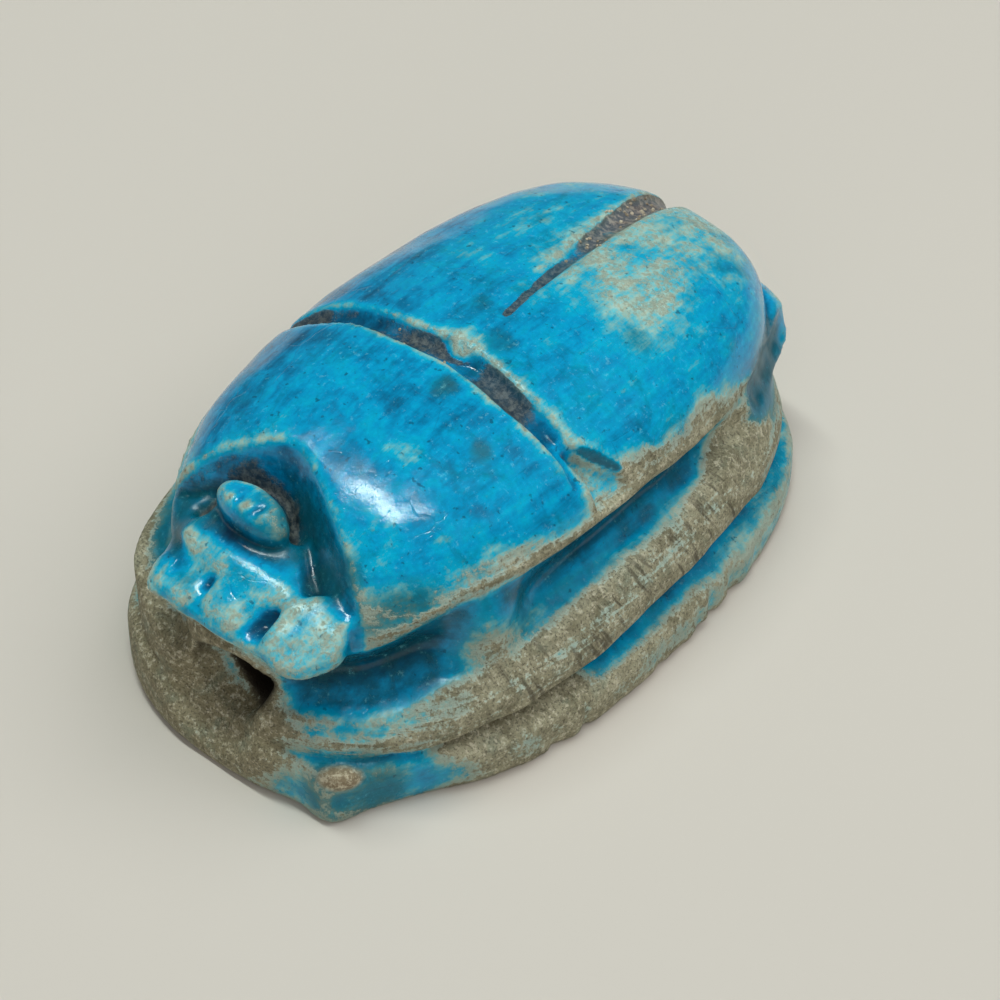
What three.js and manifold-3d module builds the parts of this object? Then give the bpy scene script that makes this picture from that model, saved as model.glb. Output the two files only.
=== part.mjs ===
// A scarab amulet: a beetle carved in the round on an oval base, from one piece of soft stone,
// then glazed. The back is a low dome with a groove behind the thorax and another between the
// wing cases, the legs are bands carved along the sides, and a bore runs lengthwise through it
// for a thread. It is built as rings stacked from the base to the crown, and the head, the
// grooves, the chips and the bore are then joined to it or cut from it.
// Millimetres. The head looks along -Y, the beetle's left side is +X, and +Z is up.
import * as THREE from "three";
import { mergeVertices } from "three/addons/utils/BufferGeometryUtils.js";
import Module from "manifold-3d";

const wasm = await Module();
wasm.setup();

// Overall sizes
const LENGTH = 22;
const WIDTH = 14.6;
const HEIGHT = 8.45;
const BASE_THICKNESS = 1.3;
const HALF_LENGTH = LENGTH / 2;
const HALF_WIDTH = WIDTH / 2;

// The base is an oval a little squarer than an ellipse, and so is the edge of the back above it.
const OVAL_POWER = 2.5;
const BACK_LENGTH = 0.909 * LENGTH;
const BACK_WIDTH = 0.788 * WIDTH;
const BACK_SHIFT = 0.023 * LENGTH;

// One broken corner of the base stands proud, on the left beside the head, with a chip behind it.
const CORNER_ANGLE = 29;
const CORNER_SPREAD = 5;
const CORNER_REACH = 0.55;
const CHIP_ANGLE = 46;
const CHIP_SPREAD = 9;
const CHIP_DEPTH = 0.3;

// Thread bore, and the worn hollow at its front mouth
const BORE_DIAMETER = 2.1;
const BORE_HEIGHT = 3;
const BORE_SHIFT = 0.05;
const BORE_SIDES = 20;
const MOUTH_WIDTH = 3.5;
const MOUTH_HEIGHT = 3.1;
const MOUTH_DEPTH = 1.7;
const MOUTH_DROP = 0.45;

// Grooves in the back: how far out they run as a share of it, width at the surface, and depth
const GROOVE_RUN = 0.98;
const THORAX_GROOVE_WIDTH = 1;
const THORAX_GROOVE_DEPTH = 0.4;
const THORAX_GROOVE_PLACE = -0.1;
const THORAX_GROOVE_BOW = 0.055;
const WING_GROOVE_START = 0.1;
const WING_GROOVE_FRONT_WIDTH = 0.35;
const WING_GROOVE_REAR_WIDTH = 1.1;
const WING_GROOVE_FRONT_DEPTH = 0.2;
const WING_GROOVE_REAR_DEPTH = 0.4;
const WING_GROOVE_SKEW = 0.065;
const SHIELD_WIDTH = 1;
const SHIELD_HEIGHT = 0.7;

// A three-cornered nick where the thorax groove meets the left edge
const NICK_PLACE = 0.6;
const NICK_WIDTH = 1.1;
const NICK_LENGTH = 1.5;
const NICK_DEPTH = 0.45;

// Head: a notch cut back into the thorax, a rounded bar in it, and a scalloped plate in front.
// Places are shares of the half width across and of the half length along.
const NOTCH_CENTRE = -0.15;
const NOTCH_APEX = -0.55;
const NOTCH_ROUNDING = 0.12;
const NOTCH_LEFT_SLOPE = 0.62;
const NOTCH_RIGHT_SLOPE = 0.92;
const NOTCH_REACH = 0.75;
const FACE_BACK_HEIGHT = 0.79;
const FACE_FRONT_HEIGHT = 0.58;
const BAR_CENTRE = -0.12;
const BAR_PLACE = -0.69;
const BAR_WIDTH = 2.5;
const BAR_LENGTH = 1.5;
const BAR_RISE = 0.62;
const BAR_GROOVE_WIDTH = 0.55;
const BAR_GROOVE_DEPTH = 0.35;
const PLATE_CENTRE = -0.04;
const PLATE_REAR = -0.73;
const PLATE_FRONT = -0.945;
const PLATE_REAR_WIDTH = 6.6;
const PLATE_FRONT_WIDTH = 5;
const PLATE_THICKNESS = 0.55;
const PLATE_BOW = 0.38;
const SCALLOPS = 4;
const SCALLOP_RISE = 0.22;
const SCALLOP_REACH = 0.18;

// How fine the stacked rings, the face and the cutters are
const COLUMNS = 96;
const BACK_RINGS = 12;
const FACE_STEPS = 24;
const CUTTER_SIDES = 10;
const CUTTER_STEPS = 28;

// The side bands, at seven places round the oval from the head to the tail. Heights are shares of
// the amulet's height, base tops are shares of its thickness, and insets from the base's edge are
// shares of its half width.
const BASE_TOP = [1.2, 1.3, 0.95, 1.1, 0.85, 0.8, 0.8];
const LOWER_GROOVE_INSET = [0.03, 0.07, 0.14, 0.155, 0.15, 0.12, 0.08];
const LEG_BOTTOM = [0.23, 0.225, 0.25, 0.29, 0.275, 0.22, 0.2];
const LEG_BOTTOM_INSET = [0.04, 0.05, 0.055, 0.055, 0.055, 0.06, 0.07];
const LEG_TOP = [0.3, 0.325, 0.42, 0.475, 0.49, 0.3, 0.25];
const LEG_TOP_INSET = [0.05, 0.1, 0.12, 0.125, 0.125, 0.1, 0.09];
const UPPER_GROOVE = [0.37, 0.4, 0.5, 0.505, 0.51, 0.35, 0.29];
const UPPER_GROOVE_INSET = [0.06, 0.25, 0.29, 0.28, 0.26, 0.13, 0.11];
const LIP_BOTTOM = [0.43, 0.52, 0.62, 0.61, 0.57, 0.42, 0.36];
const LIP_BOTTOM_INSET = [0.07, 0.2, 0.23, 0.225, 0.2, 0, 0.01];
const LIP_TOP = [0.5, 0.575, 0.645, 0.63, 0.6, 0.53, 0.52];
const LIP_TOP_INSET = [0.08, 0.21, 0.21, 0.2, 0.18, 0.01, 0.02];
const RIM = [0.56, 0.615, 0.66, 0.645, 0.62, 0.575, 0.57];
const BACK_ROUNDNESS = [2.05, 2.05, 2.05, 2.05, 2.1, 2.4, 2.5];

// The front leg on the right is carved higher than the one on the left.
const RIGHT_LEG_ANGLE = 38;
const RIGHT_LEG_SPREAD = 16;
const RIGHT_LEG_RISE = 0.7;
const RIGHT_LEG_REACH = 0.4;

// A bridge of stone parts the front leg's groove from the hind leg's.
const BRIDGE_ANGLE = 69;
const BRIDGE_SPREAD = 9;
const BRIDGE_FILL = 0.6;

const bell = (offset, spread) => Math.exp(-((offset / spread) ** 2));
const mix = THREE.MathUtils.lerp;

// A value given at the seven places, at an angle of 0 at the head to 180 at the tail
function around(angle, places) {
  const step = 180 / (places.length - 1);
  const at = Math.min(angle / step, places.length - 1 - 1e-6);
  const low = Math.floor(at);
  return mix(places[low], places[low + 1], THREE.MathUtils.smoothstep(at - low, 0, 1));
}

// A point of an oval, by the angle of its curve
function ovalPoint(turn, halfWidth, halfLength) {
  const c = Math.cos(turn);
  const s = Math.sin(turn);
  const x = halfWidth * Math.sign(c) * Math.abs(c) ** (2 / OVAL_POWER);
  const y = halfLength * Math.sign(s) * Math.abs(s) ** (2 / OVAL_POWER);
  return new THREE.Vector2(x, y);
}

// The angle round the base, the same on both sides: 0 at the head and 180 at the tail
function placeAngle(x, y) {
  return THREE.MathUtils.radToDeg(Math.atan2(Math.abs(x) / HALF_WIDTH, -y / HALF_LENGTH));
}

// The base's edge moved inwards, square to itself
function edgePoint(turn, inset) {
  const p = ovalPoint(turn, HALF_WIDTH, HALF_LENGTH);
  const slopeX = Math.sign(p.x) * (Math.abs(p.x) / HALF_WIDTH) ** (OVAL_POWER - 1) / HALF_WIDTH;
  const slopeY = Math.sign(p.y) * (Math.abs(p.y) / HALF_LENGTH) ** (OVAL_POWER - 1) / HALF_LENGTH;
  const outwards = new THREE.Vector2(slopeX, slopeY).normalize();
  return p.addScaledVector(outwards, -inset);
}

// Height of the back over a point, before it is carved
function backHeight(x, y) {
  const across = Math.abs(x / (BACK_WIDTH / 2)) ** OVAL_POWER;
  const along = Math.abs((y - BACK_SHIFT) / (BACK_LENGTH / 2)) ** OVAL_POWER;
  const share = Math.min((across + along) ** (1 / OVAL_POWER), 1);
  const angle = placeAngle(x, y);
  const ease = THREE.MathUtils.smoothstep(share, 0.2, 0.8);
  const power = mix(BACK_ROUNDNESS[0], around(angle, BACK_ROUNDNESS), ease);
  const rim = HEIGHT * mix(RIM[3], around(angle, RIM), ease);
  return rim + (HEIGHT - rim) * (1 - share ** power) ** (1 / power);
}

// Way out of the back's surface at a point
function backNormal(x, y) {
  const reach = 0.02;
  const slopeX = (backHeight(x + reach, y) - backHeight(x - reach, y)) / (2 * reach);
  const slopeY = (backHeight(x, y + reach) - backHeight(x, y - reach)) / (2 * reach);
  return new THREE.Vector3(-slopeX, -slopeY, 1).normalize();
}

// The side of the amulet in one column, from the foot of the base up to the rim of the back
function sideColumn(turn) {
  const edge = ovalPoint(turn, HALF_WIDTH, HALF_LENGTH);
  const angle = placeAngle(edge.x, edge.y);
  const left = edge.x > 0 ? 1 : 0;
  const corner = CORNER_REACH * bell(angle - CORNER_ANGLE, CORNER_SPREAD);
  const chip = CHIP_DEPTH * bell(angle - CHIP_ANGLE, CHIP_SPREAD);
  const broken = left * (corner - chip);
  const bridge = 1 - BRIDGE_FILL * bell(angle - BRIDGE_ANGLE, BRIDGE_SPREAD);
  const baseTop = BASE_THICKNESS * around(angle, BASE_TOP);
  const legBottom = HEIGHT * around(angle, LEG_BOTTOM);
  const right = (1 - left) * bell(angle - RIGHT_LEG_ANGLE, RIGHT_LEG_SPREAD);
  const legTop = HEIGHT * around(angle, LEG_TOP) + RIGHT_LEG_RISE * right;
  const legInset = around(angle, LEG_BOTTOM_INSET);
  const legTopInset = around(angle, LEG_TOP_INSET) - (RIGHT_LEG_REACH / HALF_WIDTH) * right;
  const groove = legTopInset + bridge * (around(angle, UPPER_GROOVE_INSET) - legTopInset);
  const rows = [
    [0, 0.015, -broken],
    [0.25 * baseTop, 0, -broken],
    [0.8 * baseTop, 0.003, -0.8 * broken],
    [baseTop, 0.02, -0.5 * broken],
    [mix(baseTop, legBottom, 0.45), around(angle, LOWER_GROOVE_INSET), 0],
    [legBottom, legInset, 0],
    [mix(legBottom, legTop, 0.4), legInset, 0],
    [legTop, legTopInset, 0],
    [HEIGHT * around(angle, UPPER_GROOVE) + RIGHT_LEG_RISE * right, groove, 0],
    [HEIGHT * around(angle, LIP_BOTTOM), around(angle, LIP_BOTTOM_INSET), 0],
    [HEIGHT * around(angle, LIP_TOP), around(angle, LIP_TOP_INSET), 0],
  ];
  return rows.map(([z, inset, change]) => {
    const p = edgePoint(turn, inset * HALF_WIDTH + change);
    return new THREE.Vector3(p.x, p.y, z);
  });
}

// The back in one column, from its rim towards the crown
function backColumn(turn) {
  return Array.from({ length: BACK_RINGS }, (_, ring) => {
    const share = Math.cos((Math.PI / 2) * (ring / BACK_RINGS));
    const p = ovalPoint(turn, share * BACK_WIDTH / 2, share * BACK_LENGTH / 2);
    const y = p.y + BACK_SHIFT;
    return new THREE.Vector3(p.x, y, backHeight(p.x, y));
  });
}

// Rings of points, all of one count, closed with a point at each end
function stackOfRings(columns, first, last) {
  const rings = columns[0].length;
  const points = [first, ...columns.flat(), last];
  const at = (column, ring) => 1 + (column % columns.length) * rings + ring;
  const faces = [];
  for (let c = 0; c < columns.length; c += 1) {
    faces.push([0, at(c + 1, 0), at(c, 0)]);
    for (let r = 0; r + 1 < rings; r += 1) {
      faces.push([at(c, r), at(c + 1, r), at(c + 1, r + 1)]);
      faces.push([at(c, r), at(c + 1, r + 1), at(c, r + 1)]);
    }
    faces.push([at(c, rings - 1), at(c + 1, rings - 1), points.length - 1]);
  }
  return new THREE.BufferGeometry().setFromPoints(points).setIndex(faces.flat());
}

// A round cutter swept along points, with its own radius at each, ending in points
function taperedRod(path, radii) {
  const columns = Array.from({ length: CUTTER_SIDES }, () => []);
  path.forEach((p, i) => {
    const before = path[Math.max(i - 1, 0)];
    const after = path[Math.min(i + 1, path.length - 1)];
    const ahead = after.clone().sub(before).normalize();
    const side = new THREE.Vector3(0, 0, 1).cross(ahead).normalize();
    const up = ahead.clone().cross(side);
    columns.forEach((column, k) => {
      const turn = (2 * Math.PI * k) / CUTTER_SIDES;
      const ring = p.clone().addScaledVector(side, radii[i] * Math.cos(turn));
      column.push(ring.addScaledVector(up, radii[i] * Math.sin(turn)));
    });
  });
  return stackOfRings(columns, path[0].clone(), path[path.length - 1].clone());
}

// A groove in the back over a plan path, as wide and deep as asked at each share of its length
function backGroove(planPath, widthAt, depthAt) {
  const path = [];
  const radii = [];
  for (let i = 0; i <= CUTTER_STEPS; i += 1) {
    const share = i / CUTTER_STEPS;
    const p = planPath(share);
    const depth = depthAt(share);
    const radius = ((widthAt(share) / 2) ** 2 + depth ** 2) / (2 * depth);
    const centre = new THREE.Vector3(p.x, p.y, backHeight(p.x, p.y));
    path.push(centre.addScaledVector(backNormal(p.x, p.y), radius - depth));
    radii.push(radius);
  }
  return taperedRod(path, radii);
}

function solid(geometry) {
  const bare = geometry.clone();
  bare.deleteAttribute("normal");
  bare.deleteAttribute("uv");
  const merged = mergeVertices(bare, 1e-4);
  return new wasm.Manifold(new wasm.Mesh({
    numProp: 3,
    vertProperties: merged.attributes.position.array,
    triVerts: new Uint32Array(merged.index.array),
  }));
}

function geometryOf(body) {
  const mesh = body.getMesh();
  const geometry = new THREE.BufferGeometry();
  geometry.setAttribute("position", new THREE.BufferAttribute(mesh.vertProperties, 3));
  geometry.setIndex(new THREE.BufferAttribute(mesh.triVerts, 1));
  geometry.computeVertexNormals();
  return geometry;
}

// An ellipsoid by its three widths and centre
function ellipsoid(size, centre) {
  const ball = new THREE.SphereGeometry(0.5, 18, 10);
  return ball.scale(size.x, size.y, size.z).translate(centre.x, centre.y, centre.z);
}

// An upright prism over a plan outline
function prism(outline, low, high) {
  const shape = new THREE.Shape(outline);
  const options = { depth: high - low, bevelEnabled: false };
  return new THREE.ExtrudeGeometry(shape, options).translate(0, 0, low);
}

// The uncarved block: side bands and back
function block() {
  const columns = Array.from({ length: COLUMNS }, (_, k) => {
    const turn = (2 * Math.PI * k) / COLUMNS;
    return [...sideColumn(turn), ...backColumn(turn)];
  });
  const foot = new THREE.Vector3(0, 0, 0);
  const crown = new THREE.Vector3(0, BACK_SHIFT, HEIGHT);
  return solid(stackOfRings(columns, foot, crown));
}

// Head: where the thorax's front edge runs over a point across
const notchX = NOTCH_CENTRE * HALF_WIDTH;
const notchY = NOTCH_APEX * HALF_LENGTH;

function notchEdge(x) {
  const off = x - notchX;
  const rounding = NOTCH_ROUNDING * HALF_WIDTH;
  const slope = off > 0 ? NOTCH_LEFT_SLOPE : NOTCH_RIGHT_SLOPE;
  return notchY - slope * (Math.hypot(off, rounding) - rounding);
}

// The head's plate is a fan, so its half width changes along it.
const plateX = PLATE_CENTRE * HALF_WIDTH;
const plateRear = PLATE_REAR * HALF_LENGTH;
const plateFront = PLATE_FRONT * HALF_LENGTH;

function plateHalfWidth(y) {
  return mix(PLATE_REAR_WIDTH, PLATE_FRONT_WIDTH, (y - plateRear) / (plateFront - plateRear)) / 2;
}

const scallop = (share) => Math.abs(Math.sin((Math.PI / 2) * SCALLOPS * share));

// Height of the head over a point: a slope with a groove round the bar and scallops in front
const barX = BAR_CENTRE * HALF_WIDTH;
const barY = BAR_PLACE * HALF_LENGTH;
const faceSlope = (y) => {
  const share = (y - notchY) / (-HALF_LENGTH - notchY);
  return HEIGHT * mix(FACE_BACK_HEIGHT, FACE_FRONT_HEIGHT, share);
};

function headHeight(x, y) {
  const reach = Math.hypot((x - barX) / (BAR_WIDTH / 2), (y - barY) / (BAR_LENGTH / 2));
  const beyond = (reach - 1) * BAR_LENGTH / 2 - BAR_GROOVE_WIDTH / 2;
  const groove = BAR_GROOVE_DEPTH * bell(beyond, BAR_GROOVE_WIDTH / 2);
  const onPlate = THREE.MathUtils.smoothstep(plateRear - y, 0, plateRear - plateFront);
  const share = (x - plateX) / plateHalfWidth(y);
  return faceSlope(y) - groove + onPlate * SCALLOP_RISE * scallop(share);
}

// Everything over the head's surface in front of an edge: loops square to X, stacked across
function headAir(rearEdge) {
  const half = NOTCH_REACH * HALF_WIDTH;
  const above = HEIGHT + PLATE_THICKNESS;
  const loops = Array.from({ length: FACE_STEPS + 1 }, (_, i) => {
    const x = mix(half, -half, i / FACE_STEPS);
    const rear = rearEdge(x);
    const floor = Array.from({ length: FACE_STEPS + 1 }, (_, j) => {
      const y = mix(rear, -HALF_LENGTH - PLATE_THICKNESS, j / FACE_STEPS);
      return new THREE.Vector3(x, y, headHeight(x, y));
    });
    const front = floor[FACE_STEPS].clone().setZ(above);
    return [...floor, front, new THREE.Vector3(x, rear, above)];
  });
  const columns = loops[0].map((_, k) => loops.map((loop) => loop[k]));
  const middle = (loop) => loop[0].clone().lerp(loop[FACE_STEPS + 1], 0.5);
  return stackOfRings(columns, middle(loops[0]), middle(loops[FACE_STEPS]));
}

// The plate in front, scalloped along its edge, and trimmed to the head's surface
function plate() {
  const rearHalf = plateHalfWidth(plateRear);
  const outline = [
    new THREE.Vector2(plateX - rearHalf, plateRear),
    new THREE.Vector2(plateX + rearHalf, plateRear),
  ];
  for (let i = 0; i <= FACE_STEPS; i += 1) {
    const share = mix(1, -1, i / FACE_STEPS);
    const forward = PLATE_BOW * (1 - share ** 2) + SCALLOP_REACH * scallop(share);
    outline.push(new THREE.Vector2(plateX + share * PLATE_FRONT_WIDTH / 2, plateFront - forward));
  }
  outline.reverse();
  const underside = faceSlope(-HALF_LENGTH) - PLATE_THICKNESS;
  const slab = solid(prism(outline, underside, HEIGHT));
  return slab.subtract(solid(headAir(() => notchY)));
}

// The rounded bar is two lobes side by side.
function barLobe(side) {
  const size = new THREE.Vector3(0.7 * BAR_WIDTH, 0.9 * BAR_LENGTH, 2 * BAR_RISE);
  const x = barX + side * (BAR_WIDTH - size.x) / 2;
  return ellipsoid(size, new THREE.Vector3(x, barY, faceSlope(barY)));
}

// Grooves in the back
const thoraxPath = (share) => {
  const x = mix(-0.5, 0.5, share) * GROOVE_RUN * BACK_WIDTH;
  const bow = THORAX_GROOVE_BOW * (x / (BACK_WIDTH / 2)) ** 2;
  return new THREE.Vector2(x, (THORAX_GROOVE_PLACE - bow) * HALF_LENGTH);
};
const wingRear = BACK_SHIFT + GROOVE_RUN * BACK_LENGTH / 2;
const wingFront = WING_GROOVE_START * HALF_LENGTH;
const wingPath = (share) => {
  const x = mix(WING_GROOVE_SKEW, -WING_GROOVE_SKEW, share) * HALF_WIDTH;
  return new THREE.Vector2(x, mix(wingFront, wingRear, share));
};

// The small shield between the wing cases stands in the thorax groove, level with the back.
function shield() {
  const x = wingPath(0).x;
  const y = THORAX_GROOVE_PLACE * HALF_LENGTH + SHIELD_WIDTH / 4;
  const size = new THREE.Vector3(SHIELD_WIDTH, SHIELD_WIDTH, SHIELD_HEIGHT);
  return ellipsoid(size, new THREE.Vector3(x, y, backHeight(x, y) - SHIELD_HEIGHT / 2));
}

// The three-cornered nick
function nick() {
  const y = THORAX_GROOVE_PLACE * HALF_LENGTH - THORAX_GROOVE_WIDTH / 2;
  const x = NICK_PLACE * HALF_WIDTH;
  const outline = [
    new THREE.Vector2(x, y),
    new THREE.Vector2(x + NICK_WIDTH, y),
    new THREE.Vector2(x + 0.6 * NICK_WIDTH, y + NICK_LENGTH),
  ];
  const middle = new THREE.Vector2(x + NICK_WIDTH / 2, y + NICK_LENGTH / 3);
  return prism(outline, backHeight(middle.x, middle.y) - NICK_DEPTH, HEIGHT + NICK_DEPTH);
}

function bore() {
  const radius = BORE_DIAMETER / 2;
  const hole = new THREE.CylinderGeometry(radius, radius, 2 * LENGTH, BORE_SIDES);
  return hole.translate(BORE_SHIFT * HALF_WIDTH, 0, BORE_HEIGHT);
}

function mouth() {
  const size = new THREE.Vector3(MOUTH_WIDTH, 2 * MOUTH_DEPTH, MOUTH_HEIGHT);
  return ellipsoid(size, new THREE.Vector3(0, -HALF_LENGTH, BORE_HEIGHT - MOUTH_DROP));
}

const thoraxGroove = backGroove(
  thoraxPath,
  () => THORAX_GROOVE_WIDTH,
  () => THORAX_GROOVE_DEPTH,
);
const wingGroove = backGroove(
  wingPath,
  (share) => mix(WING_GROOVE_FRONT_WIDTH, WING_GROOVE_REAR_WIDTH, share),
  (share) => mix(WING_GROOVE_FRONT_DEPTH, WING_GROOVE_REAR_DEPTH, share),
);

const carved = block()
  .add(plate())
  .subtract(solid(headAir(notchEdge)))
  .add(solid(barLobe(-1)))
  .add(solid(barLobe(1)))
  .subtract(solid(thoraxGroove))
  .subtract(solid(wingGroove))
  .add(solid(shield()))
  .subtract(solid(nick()))
  .subtract(solid(mouth()))
  .subtract(solid(bore()));

const scarab = new THREE.Mesh(
  geometryOf(carved),
  new THREE.MeshStandardMaterial({ color: 0x1593b5, roughness: 0.3, metalness: 0 }),
);
scarab.name = "scarab";

const amulet = new THREE.Group();
amulet.add(scarab);

export default amulet;
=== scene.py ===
# %% [markdown]
# # A glazed scarab amulet
# A scarab is a beetle carved in the round on an oval base. This one is soft stone, cut with a few
# confident strokes, dipped in a blue glaze and fired, then worn for so long that the glaze has
# gone from every edge that rubs. Almost everything that makes it look real is in those three
# steps, so the script follows them: first the carving, then the glaze, then the wear.

import math
import bpy
import bmesh
import numpy as np
from mathutils import Matrix, Vector


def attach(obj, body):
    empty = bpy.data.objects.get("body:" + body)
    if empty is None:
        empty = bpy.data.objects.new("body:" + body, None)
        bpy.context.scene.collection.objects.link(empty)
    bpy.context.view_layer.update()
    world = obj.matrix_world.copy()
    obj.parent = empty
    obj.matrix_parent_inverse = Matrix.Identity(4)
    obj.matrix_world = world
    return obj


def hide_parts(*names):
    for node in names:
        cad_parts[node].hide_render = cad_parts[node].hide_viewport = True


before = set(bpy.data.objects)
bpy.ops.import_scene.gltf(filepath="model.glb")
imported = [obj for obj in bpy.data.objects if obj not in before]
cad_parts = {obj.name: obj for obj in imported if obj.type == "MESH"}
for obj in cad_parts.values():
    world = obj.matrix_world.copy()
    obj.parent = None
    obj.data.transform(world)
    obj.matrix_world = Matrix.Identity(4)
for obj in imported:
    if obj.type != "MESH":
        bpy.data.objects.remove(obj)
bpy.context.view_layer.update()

# %% [markdown]
# ## Sizes
# All sizes are in millimetres, because that is how you would measure an amulet with calipers. The
# head looks along -Y, the beetle's left side is +X, and the base lies on z = 0.

# %% Overall sizes
LENGTH = 22.0
WIDTH = 14.6
HEIGHT = 8.45
BASE_THICKNESS = 1.3
HALF_LENGTH = LENGTH / 2
HALF_WIDTH = WIDTH / 2
OVAL_POWER = 2.5
BACK_HALF_LENGTH = 10.0
BACK_HALF_WIDTH = 5.75
BACK_SHIFT = 0.5

# %% [markdown]
# ## Carving with numbers
# A carver takes stone away until only the beetle is left. We can do the same with a field: a
# number at every point of a fine grid, negative where there is stone and positive where there is
# air. Joining two shapes takes the smaller number, cutting takes the larger, and a little rounding
# where they meet gives the soft edges of old soapstone. Modelling by hand or with Booleans on
# meshes would also work, but would leave every edge knife sharp.

# %% The grid
STEP = 0.1095
xs = np.arange(-HALF_WIDTH - 0.35, HALF_WIDTH + 0.35, STEP)
ys = np.arange(-HALF_LENGTH - 0.35, HALF_LENGTH + 0.35, STEP)
zs = np.arange(-0.35, HEIGHT + 0.4, STEP)
X, Y, Z = np.meshgrid(xs, ys, zs, indexing="ij", sparse=True)
X2, Y2 = np.meshgrid(xs, ys, indexing="ij")
print("grid", X.shape[0], "x", Y.shape[1], "x", Z.shape[2])


def joined(a, b, soft=0.1):
    h = np.clip(0.5 + 0.5 * (b - a) / soft, 0, 1)
    return b + (a - b) * h - soft * h * (1 - h)


def cut(a, b, soft=0.1):
    """a with the shape b taken away."""
    return -joined(-a, b, soft)


def as_distance(field):
    """Scales a field so that it grows by about one per millimetre near its surface."""
    slopes = np.gradient(field, STEP)
    return field / np.maximum(np.sqrt(sum(s * s for s in slopes)), 0.05)


def smoothstep(low, high, v):
    t = np.clip((v - low) / (high - low), 0, 1)
    return t * t * (3 - 2 * t)


def bell(offset, spread):
    return np.exp(-((offset / spread) ** 2))


def turned(x, y, degrees):
    """x and y measured along axes that are turned about Z."""
    c, s = math.cos(math.radians(degrees)), math.sin(math.radians(degrees))
    return x * c + y * s, y * c - x * s


# %% [markdown]
# ## Lumps
# Nothing cut by hand is quite even. This helper gives smooth random lumps of a chosen size, the
# same ones each time for the same seed. Random numbers sit on a coarse lattice and are blended
# between its corners.

# %% Lumps
def lumps(x, y, z, size, seed):
    table = np.random.default_rng(seed).uniform(-1, 1, 4096)
    x, y, z = np.broadcast_arrays(x / size, y / size, z / size)
    ix, iy, iz = (np.floor(v).astype(np.int64) for v in (x, y, z))
    fx, fy, fz = (v - np.floor(v) for v in (x, y, z))
    fx, fy, fz = (f * f * (3 - 2 * f) for f in (fx, fy, fz))
    total = np.zeros(x.shape)
    for dx in (0, 1):
        for dy in (0, 1):
            for dz in (0, 1):
                code = (ix + dx) * 73856093 ^ (iy + dy) * 19349663 ^ (iz + dz) * 83492791
                share = np.abs(1 - dx - fx) * np.abs(1 - dy - fy) * np.abs(1 - dz - fz)
                total += share * table[code & 4095]
    return total


# %% [markdown]
# ## The sides
# Seen from the side the amulet is a stack of bands: the base, a groove, the ridge that stands for
# the legs, another groove, and the lip of the back. Each band is given at seven places round the
# oval, from the head to the tail, and eased between them. For every column of the grid we need
# only two things: how far in from the base's edge it is, and which place round the oval it is
# nearest to.

# %% How far in, and where round
turns = np.linspace(0, 2 * np.pi, 1600, endpoint=False)
edge_x = HALF_WIDTH * np.sign(np.cos(turns)) * np.abs(np.cos(turns)) ** (2 / OVAL_POWER)
edge_y = HALF_LENGTH * np.sign(np.sin(turns)) * np.abs(np.sin(turns)) ** (2 / OVAL_POWER)


def place_angle(x, y):
    """0 at the head and 180 at the tail, the same on both sides."""
    return np.degrees(np.arctan2(np.abs(x) / HALF_WIDTH, -y / HALF_LENGTH))


def oval_distance(x, y):
    """Distance to the base's edge, negative inside, and the place of the nearest point of it."""
    far = np.empty(x.shape)
    where = np.empty(x.shape)
    for i in range(x.shape[0]):
        gap = (x[i][:, None] - edge_x) ** 2 + (y[i][:, None] - edge_y) ** 2
        k = gap.argmin(axis=1)
        far[i] = np.sqrt(gap[np.arange(len(k)), k])
        where[i] = place_angle(edge_x[k], edge_y[k])
    inside = np.abs(x / HALF_WIDTH) ** OVAL_POWER + np.abs(y / HALF_LENGTH) ** OVAL_POWER < 1
    return np.where(inside, -far, far), where


FROM_EDGE, PLACE = oval_distance(X2, Y2)


def around(angle, places):
    at = np.clip(angle / (180 / (len(places) - 1)), 0, len(places) - 1 - 1e-6)
    low = np.floor(at).astype(int)
    ease = smoothstep(0, 1, at - low)
    places = np.array(places)
    return places[low] + ease * (places[low + 1] - places[low])


# %% [markdown]
# The broken corner at the front left is one swelling and one dip in the base's edge, and the leg
# on the right is carved a little higher than the one on the left.

# %% The side bands
LEFT = (X2 > 0).astype(float)
corner = 0.55 * bell(PLACE - 29, 5) - 0.3 * bell(PLACE - 46, 9)
broken = LEFT * corner
right_leg = (1 - LEFT) * bell(PLACE - 38, 16)
ragged = LEFT * smoothstep(52, 66, PLACE) * (1 - smoothstep(104, 122, PLACE))
chips = 0.16 * ragged * np.clip(lumps(X2, Y2, 0 * X2, 0.8, 21) + lumps(X2, Y2, 0 * X2, 0.35, 22), -0.3, 1)
open_groove = (1 - 0.85 * bell(PLACE - 60, 7.5)) * (1 - 0.9 * smoothstep(108, 124, PLACE))
wavy = 0.14 * lumps(X2, Y2, 0 * X2, 1.4, 23)
base_top = BASE_THICKNESS * around(PLACE, [1.2, 1.3, 0.95, 1.0, 0.85, 0.8, 0.8])
leg_bottom = HEIGHT * around(PLACE, [0.23, 0.22, 0.235, 0.27, 0.26, 0.22, 0.2]) + wavy
leg_inset = around(PLACE, [0.04, 0.05, 0.055, 0.055, 0.055, 0.06, 0.07])
leg_top = HEIGHT * around(PLACE, [0.3, 0.32, 0.4, 0.455, 0.48, 0.33, 0.25]) + 0.7 * right_leg
leg_top_inset = around(PLACE, [0.05, 0.1, 0.12, 0.125, 0.12, 0.09, 0.09])
leg_top_inset = leg_top_inset - 0.4 / HALF_WIDTH * right_leg
low_inset = around(PLACE, [0.03, 0.07, 0.12, 0.16, 0.16, 0.13, 0.08])
high_inset = around(PLACE, [0.06, 0.26, 0.3, 0.29, 0.27, 0.17, 0.11])
shelf_z = leg_top + HEIGHT * around(PLACE, [0.05, 0.065, 0.05, 0.03, 0.02, 0.02, 0.02])
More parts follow.
